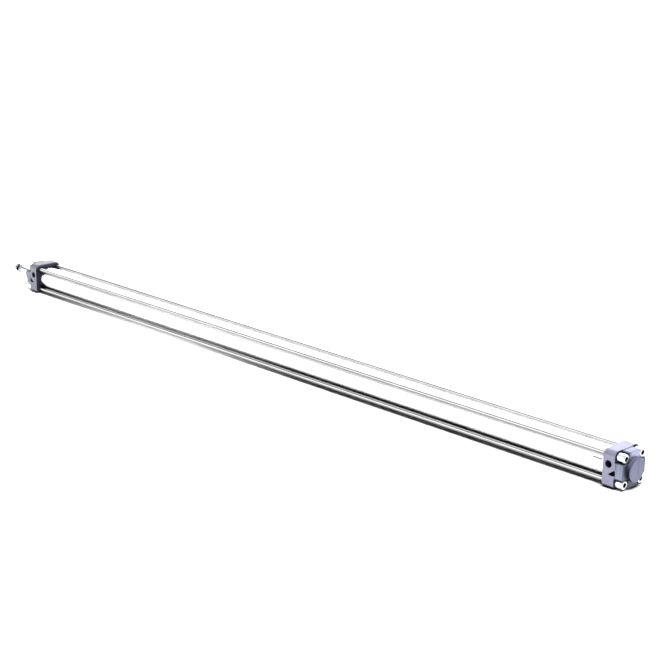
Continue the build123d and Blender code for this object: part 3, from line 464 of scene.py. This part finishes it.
# -------------------------------------------- piston rod with its real thread
def rod_mesh():
    """The rod's outline turned about the axis, spanner flats, and an M10x1.25 thread at its end."""
    bm = bmesh.new()
    rod0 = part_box("piston_rod")[0].x if hasattr(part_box("piston_rod")[0], "x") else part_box("piston_rod")[0][0]
    n = 96
    pr = rod0 + 0.012
    pf = pr + 0.025
    sh = TIP - THREAD_L

    def ring(x, r, flat=None):
        out = []
        for i in range(n):
            a = 2 * math.pi * i / n
            yy, zz = r * math.cos(a), r * math.sin(a)
            if flat is not None and abs(zz) > flat:
                zz = math.copysign(flat, zz)
            out.append(bm.verts.new((x, yy, zz)))
        return out

    def bridge(a, b):
        for i in range(n):
            j = (i + 1) % n
            bm.faces.new((a[i], a[j], b[j], b[i]))

    f0, f1 = sh - 0.008, sh - 0.002
    # outline from the inner end to the thread's start; a pair at one place is a step
    line = [(rod0, 0.0034, None), (rod0 + 0.0006, 0.004, None), (pf, 0.004, None), (pf, 0.0045, None),
            (pf + 0.016, 0.0045, None), (pf + 0.016, 0.006, None), (f0, 0.006, None), (f0, 0.006, 0.005),
            (f1, 0.006, 0.005), (f1, 0.006, None), (sh - 0.001, 0.006, None), (sh - 0.0002, 0.0052, None),
            (sh, 0.00435, None)]
    first = ring(*line[0])
    bm.faces.new(first)
    last = first
    for item in line[1:]:
        here = ring(*item)
        bridge(last, here)
        last = here
    # thread: one closed helical ridge, 64 stations a turn, its foot inside the core
    pitch, r_out, r_foot, r_core = 0.00125, 0.00494, 0.00405, 0.00436
    per = 64
    x0, x1 = sh + 0.0007, TIP - 0.0007
    steps = int((x1 - x0) / pitch * per)
    lead = TIP - 0.0010
    rows = []
    for s in range(steps + 1):
        a = 2 * math.pi * s / per
        rise = min(1.0, s / (1.3 * per))                  # run-out behind the shoulder
        crest = r_core + (r_out - r_core) * rise
        row = []
        for dx, r in ((-0.44, r_foot), (-0.0625, crest), (0.0625, crest), (0.44, r_foot)):
            x = x0 + pitch * (s / per + dx)
            if x > lead:                                  # lead chamfer
                r = min(r, r_out - (x - lead))
            row.append(bm.verts.new((x, r * math.cos(a), r * math.sin(a))))
        rows.append(row)
    for s in range(steps):
        for k in range(4):
            j = (k + 1) % 4
            bm.faces.new((rows[s][k], rows[s + 1][k], rows[s + 1][j], rows[s][j]))
    bm.faces.new(rows[0])
    bm.faces.new(reversed(rows[-1]))
    # core inside the thread and the tip's face with its centre drilling
    core = [(sh, 0.00435), (TIP - 0.0006, 0.00425), (TIP, 0.00395), (TIP, 0.0015), (TIP - 0.0012, 0.0008), (TIP - 0.0024, 0.0008)]
    for x, r in core:
        here = ring(x, r)
        bridge(last, here)
        last = here
    bm.faces.new(reversed(last))
    bmesh.ops.remove_doubles(bm, verts=bm.verts, dist=1e-7)
    bmesh.ops.recalc_face_normals(bm, faces=bm.faces)
    return bm, sh


bm, SHOULDER = rod_mesh()
rod = new_object("piston_rod_turned", bm, MATS["rod_chrome"], 30)
rod.data.materials.append(THREAD)
for p in rod.data.polygons:
    if p.center.x > SHOULDER - 0.00005:
        p.material_index = 1
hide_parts("piston_rod")
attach(rod, "rod_and_piston")


# ------------------------------------------------------- threads in the holes
def inner_thread(name, start, axis, length, radius, depth, pitch, body, material):
    """A helical ridge inside a round hole: start is its mouth, axis points into the hole."""
    axis = Vector(axis).normalized()
    side = axis.orthogonal().normalized()
    other = axis.cross(side)
    start = Vector(start)
    bm = bmesh.new()
    per = 40
    steps = int(length / pitch * per)
    rows = []
    for s in range(steps + 1):
        a = 2 * math.pi * s / per
        way = side * math.cos(a) + other * math.sin(a)
        t = pitch * s / per
        ease = min(1.0, s / per, (steps - s) / per)
        top = radius - depth * ease
        out = radius + 0.00006
        row = []
        for dx, r in ((-0.42, out), (-0.08, top), (0.08, top), (0.42, out)):
            row.append(bm.verts.new(start + axis * (t + dx * pitch) + way * r))
        rows.append(row)
    for s in range(steps):
        for k in range(4):
            j = (k + 1) % 4
            bm.faces.new((rows[s][k], rows[s + 1][k], rows[s + 1][j], rows[s][j]))
    bm.faces.new(rows[0])
    bm.faces.new(reversed(rows[-1]))
    bmesh.ops.recalc_face_normals(bm, faces=bm.faces)
    o = new_object(name, bm, material, 25)
    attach(o, body)
    return o


for end, px in (("rear", 0.0199), ("front", BODY - 0.0199)):
    inner_thread(end + "_port_thread", (px, HALF - 0.0011, 0.0066), (0, -1, 0), 0.0100, 0.0043, 0.00034, 0.000907,
                 "housing", MATS["cast_aluminium"])
for k, (sy, sz) in enumerate(((1, 1), (-1, 1), (-1, -1), (1, -1)), 1):
    inner_thread(f"rear_nut_thread_{k}", (0.0052, sy * TG, sz * TG), (1, 0, 0), 0.0115, 0.0025, 0.00026, 0.001,
                 "housing", MATS["zinc_steel"])
    inner_thread(f"front_nut_thread_{k}", (BODY - 0.0052, sy * TG, sz * TG), (-1, 0, 0), 0.0115, 0.0025, 0.00026, 0.001,
                 "housing", MATS["zinc_steel"])

# ------------------------------------------------------------ floor and light
floor_me = bpy.data.meshes.new("floor")
fz = FLOOR_Z - 0.00002
floor_me.from_pydata([(-40, -40, fz), (40, -40, fz), (40, 40, fz), (-40, 40, fz)], [], [(0, 1, 2, 3)])
floor = bpy.data.objects.new("floor", floor_me)
bpy.context.scene.collection.objects.link(floor)
white = Mat("floor_white", (0.55, 0.55, 0.553), 0.0, 0.9)
white.bsdf.inputs["Specular IOR Level"].default_value = 0.0
floor_me.materials.append(white.mat)

world = bpy.data.worlds.new("studio")
bpy.context.scene.world = world
world.use_nodes = True
world.cycles_visibility.diffuse = False
wt = world.node_tree
bg = wt.nodes["Background"]
bg.inputs["Color"].default_value = (1, 1, 1, 1)
geo = wt.nodes.new("ShaderNodeTexCoord")
dot = wt.nodes.new("ShaderNodeVectorMath")
dot.operation = "DOT_PRODUCT"
dot.inputs[1].default_value = (0.679, 0.298, 0.670)
wt.links.new(geo.outputs["Generated"], dot.inputs[0])
# bright all round but for one dim patch overhead
ceiling = wt.nodes.new("ShaderNodeMapRange")
ceiling.interpolation_type = "SMOOTHSTEP"
for key, value in (("From Min", 0.90), ("From Max", 0.985), ("To Min", 2.1), ("To Max", 0.05)):
    ceiling.inputs[key].default_value = value
wt.links.new(dot.outputs["Value"], ceiling.inputs["Value"])
# the far walls are the brightest
wall = wt.nodes.new("ShaderNodeSeparateXYZ")
wt.links.new(geo.outputs["Generated"], wall.inputs[0])
fall = wt.nodes.new("ShaderNodeMapRange")
for key, value in (("From Min", -0.55), ("From Max", 0.15), ("To Min", 0.27), ("To Max", 1.0)):
    fall.inputs[key].default_value = value
wt.links.new(wall.outputs["X"], fall.inputs["Value"])
both = wt.nodes.new("ShaderNodeMath")
both.operation = "MULTIPLY"
wt.links.new(ceiling.outputs["Result"], both.inputs[0])
wt.links.new(fall.outputs["Result"], both.inputs[1])
# and a large window low on the far side
far = wt.nodes.new("ShaderNodeVectorMath")
far.operation = "DOT_PRODUCT"
far.inputs[1].default_value = (0.679, -0.679, 0.280)
wt.links.new(geo.outputs["Generated"], far.inputs[0])
window = wt.nodes.new("ShaderNodeMapRange")
window.interpolation_type = "SMOOTHSTEP"
for key, value in (("From Min", 0.70), ("From Max", 0.97), ("To Min", 0.0), ("To Max", 2.4)):
    window.inputs[key].default_value = value
wt.links.new(far.outputs["Value"], window.inputs["Value"])
total = wt.nodes.new("ShaderNodeMath")
total.operation = "ADD"
wt.links.new(both.outputs[0], total.inputs[0])
wt.links.new(window.outputs["Result"], total.inputs[1])
wt.links.new(total.outputs[0], bg.inputs["Strength"])


def sun(name, toward, strength, angle):
    d = bpy.data.lights.new(name, "SUN")
    d.energy = strength
    d.angle = math.radians(angle)
    o = bpy.data.objects.new(name, d)
    bpy.context.scene.collection.objects.link(o)
    o.rotation_mode = "QUATERNION"
    o.rotation_quaternion = Vector(toward).to_track_quat("Z", "Y")
    o.visible_glossy = False
    return o


sun("top_light", (-0.20, 0.10, 1.0), 8.8, 34)


def lamp(name, place, target, size, spread, power):
    d = bpy.data.lights.new(name, "AREA")
    d.shape = "SQUARE"
    d.size = size
    d.spread = math.radians(spread)
    d.energy = power
    o = bpy.data.objects.new(name, d)
    bpy.context.scene.collection.objects.link(o)
    o.location = place
    o.rotation_mode = "QUATERNION"
    o.rotation_quaternion = (Vector(place) - Vector(target)).to_track_quat("Z", "Y")
    o.visible_glossy = False


# two soft lights from the side: along the far half, and by the rod's end
lamp("side_light", (0.87, 0.70, 0.36), (0.87, 0.0, -0.02), 0.20, 37, 0.85)
lamp("end_light", (1.50, 0.55, 0.45), (1.330, 0.0, FLOOR_Z), 0.12, 14, 0.35)

view = bpy.context.scene.view_settings
view.view_transform = "Standard"
view.look = "None"
